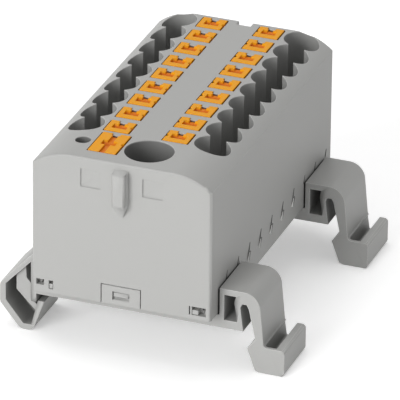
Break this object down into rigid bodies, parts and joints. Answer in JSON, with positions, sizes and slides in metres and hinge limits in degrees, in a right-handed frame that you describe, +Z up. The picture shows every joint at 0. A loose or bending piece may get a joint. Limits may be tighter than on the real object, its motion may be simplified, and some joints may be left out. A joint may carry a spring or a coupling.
{
  "type": "power distribution block",
  "caption": "Crowned grey terminal block with rows of push-in funnels and orange release buttons, a larger infeed terminal, a test tap and clipping rail feet.",
  "frame": {"origin": "middle plane of the 35 mm rail, halfway along the housing, at the height of the rail's top faces, where the feet sit", "axes": "+X across the rail towards the sprung hooks, +Y along the rail from the infeed end to the back, +Z up out of the rail"},
  "size_m": [0.0455, 0.0549, 0.0322],
  "materials": {
    "housing_plastic": "fine-grained light grey polyamide",
    "cover_plastic": "fine-grained light grey polyamide",
    "foot_plastic": "fine-grained light grey polyamide",
    "button_plastic": "smooth satin orange polyamide",
    "bar_copper": "tin-plated copper strip",
    "spring_steel": "bright rolled spring steel"
  },
  "bodies": {
    "block": {"housing": "housing_plastic", "base_cover": "cover_plastic", "current_bar": "bar_copper", "din_foot_front": "foot_plastic", "din_foot_rear": "foot_plastic", "clamp_spring_left_1": "spring_steel", "clamp_spring_left_2": "spring_steel", "clamp_spring_left_3": "spring_steel", "clamp_spring_left_4": "spring_steel", "clamp_spring_left_5": "spring_steel", "clamp_spring_left_6": "spring_steel", "clamp_spring_left_7": "spring_steel", "clamp_spring_left_8": "spring_steel", "clamp_spring_left_9": "spring_steel", "clamp_spring_right_1": "spring_steel", "clamp_spring_right_2": "spring_steel", "clamp_spring_right_3": "spring_steel", "clamp_spring_right_4": "spring_steel", "clamp_spring_right_5": "spring_steel", "clamp_spring_right_6": "spring_steel", "clamp_spring_right_7": "spring_steel", "clamp_spring_right_8": "spring_steel", "clamp_spring_right_9": "spring_steel", "clamp_spring_infeed": "spring_steel"},
    "button_left_1": {"push_button_left_1": "button_plastic"},
    "button_left_2": {"push_button_left_2": "button_plastic"},
    "button_left_3": {"push_button_left_3": "button_plastic"},
    "button_left_4": {"push_button_left_4": "button_plastic"},
    "button_left_5": {"push_button_left_5": "button_plastic"},
    "button_left_6": {"push_button_left_6": "button_plastic"},
    "button_left_7": {"push_button_left_7": "button_plastic"},
    "button_left_8": {"push_button_left_8": "button_plastic"},
    "button_left_9": {"push_button_left_9": "button_plastic"},
    "button_right_1": {"push_button_right_1": "button_plastic"},
    "button_right_2": {"push_button_right_2": "button_plastic"},
    "button_right_3": {"push_button_right_3": "button_plastic"},
    "button_right_4": {"push_button_right_4": "button_plastic"},
    "button_right_5": {"push_button_right_5": "button_plastic"},
    "button_right_6": {"push_button_right_6": "button_plastic"},
    "button_right_7": {"push_button_right_7": "button_plastic"},
    "button_right_8": {"push_button_right_8": "button_plastic"},
    "button_right_9": {"push_button_right_9": "button_plastic"},
    "button_infeed": {"push_button_infeed": "button_plastic"}
  },
  "joints": [
    {"name": "press_left_1", "type": "slide", "parent": "block", "child": "button_left_1", "axis": [0, 0, -1], "range_m": [0, 0.0015], "stiffness_N_per_m": 2000, "springref_m": -0.001, "deforming": ["clamp_spring_left_1"]},
    {"name": "press_left_2", "type": "slide", "parent": "block", "child": "button_left_2", "axis": [0, 0, -1], "range_m": [0, 0.0015], "stiffness_N_per_m": 2000, "springref_m": -0.001, "deforming": ["clamp_spring_left_2"]},
    {"name": "press_left_3", "type": "slide", "parent": "block", "child": "button_left_3", "axis": [0, 0, -1], "range_m": [0, 0.0015], "stiffness_N_per_m": 2000, "springref_m": -0.001, "deforming": ["clamp_spring_left_3"]},
    {"name": "press_left_4", "type": "slide", "parent": "block", "child": "button_left_4", "axis": [0, 0, -1], "range_m": [0, 0.0015], "stiffness_N_per_m": 2000, "springref_m": -0.001, "deforming": ["clamp_spring_left_4"]},
    {"name": "press_left_5", "type": "slide", "parent": "block", "child": "button_left_5", "axis": [0, 0, -1], "range_m": [0, 0.0015], "stiffness_N_per_m": 2000, "springref_m": -0.001, "deforming": ["clamp_spring_left_5"]},
    {"name": "press_left_6", "type": "slide", "parent": "block", "child": "button_left_6", "axis": [0, 0, -1], "range_m": [0, 0.0015], "stiffness_N_per_m": 2000, "springref_m": -0.001, "deforming": ["clamp_spring_left_6"]},
    {"name": "press_left_7", "type": "slide", "parent": "block", "child": "button_left_7", "axis": [0, 0, -1], "range_m": [0, 0.0015], "stiffness_N_per_m": 2000, "springref_m": -0.001, "deforming": ["clamp_spring_left_7"]},
    {"name": "press_left_8", "type": "slide", "parent": "block", "child": "button_left_8", "axis": [0, 0, -1], "range_m": [0, 0.0015], "stiffness_N_per_m": 2000, "springref_m": -0.001, "deforming": ["clamp_spring_left_8"]},
    {"name": "press_left_9", "type": "slide", "parent": "block", "child": "button_left_9", "axis": [0, 0, -1], "range_m": [0, 0.0015], "stiffness_N_per_m": 2000, "springref_m": -0.001, "deforming": ["clamp_spring_left_9"]},
    {"name": "press_right_1", "type": "slide", "parent": "block", "child": "button_right_1", "axis": [0, 0, -1], "range_m": [0, 0.0015], "stiffness_N_per_m": 2000, "springref_m": -0.001, "deforming": ["clamp_spring_right_1"]},
    {"name": "press_right_2", "type": "slide", "parent": "block", "child": "button_right_2", "axis": [0, 0, -1], "range_m": [0, 0.0015], "stiffness_N_per_m": 2000, "springref_m": -0.001, "deforming": ["clamp_spring_right_2"]},
    {"name": "press_right_3", "type": "slide", "parent": "block", "child": "button_right_3", "axis": [0, 0, -1], "range_m": [0, 0.0015], "stiffness_N_per_m": 2000, "springref_m": -0.001, "deforming": ["clamp_spring_right_3"]},
    {"name": "press_right_4", "type": "slide", "parent": "block", "child": "button_right_4", "axis": [0, 0, -1], "range_m": [0, 0.0015], "stiffness_N_per_m": 2000, "springref_m": -0.001, "deforming": ["clamp_spring_right_4"]},
    {"name": "press_right_5", "type": "slide", "parent": "block", "child": "button_right_5", "axis": [0, 0, -1], "range_m": [0, 0.0015], "stiffness_N_per_m": 2000, "springref_m": -0.001, "deforming": ["clamp_spring_right_5"]},
    {"name": "press_right_6", "type": "slide", "parent": "block", "child": "button_right_6", "axis": [0, 0, -1], "range_m": [0, 0.0015], "stiffness_N_per_m": 2000, "springref_m": -0.001, "deforming": ["clamp_spring_right_6"]},
    {"name": "press_right_7", "type": "slide", "parent": "block", "child": "button_right_7", "axis": [0, 0, -1], "range_m": [0, 0.0015], "stiffness_N_per_m": 2000, "springref_m": -0.001, "deforming": ["clamp_spring_right_7"]},
    {"name": "press_right_8", "type": "slide", "parent": "block", "child": "button_right_8", "axis": [0, 0, -1], "range_m": [0, 0.0015], "stiffness_N_per_m": 2000, "springref_m": -0.001, "deforming": ["clamp_spring_right_8"]},
    {"name": "press_right_9", "type": "slide", "parent": "block", "child": "button_right_9", "axis": [0, 0, -1], "range_m": [0, 0.0015], "stiffness_N_per_m": 2000, "springref_m": -0.001, "deforming": ["clamp_spring_right_9"]},
    {"name": "press_infeed", "type": "slide", "parent": "block", "child": "button_infeed", "axis": [0, 0, -1], "range_m": [0, 0.0015], "stiffness_N_per_m": 2000, "springref_m": -0.001, "deforming": ["clamp_spring_infeed"]}
  ]
}
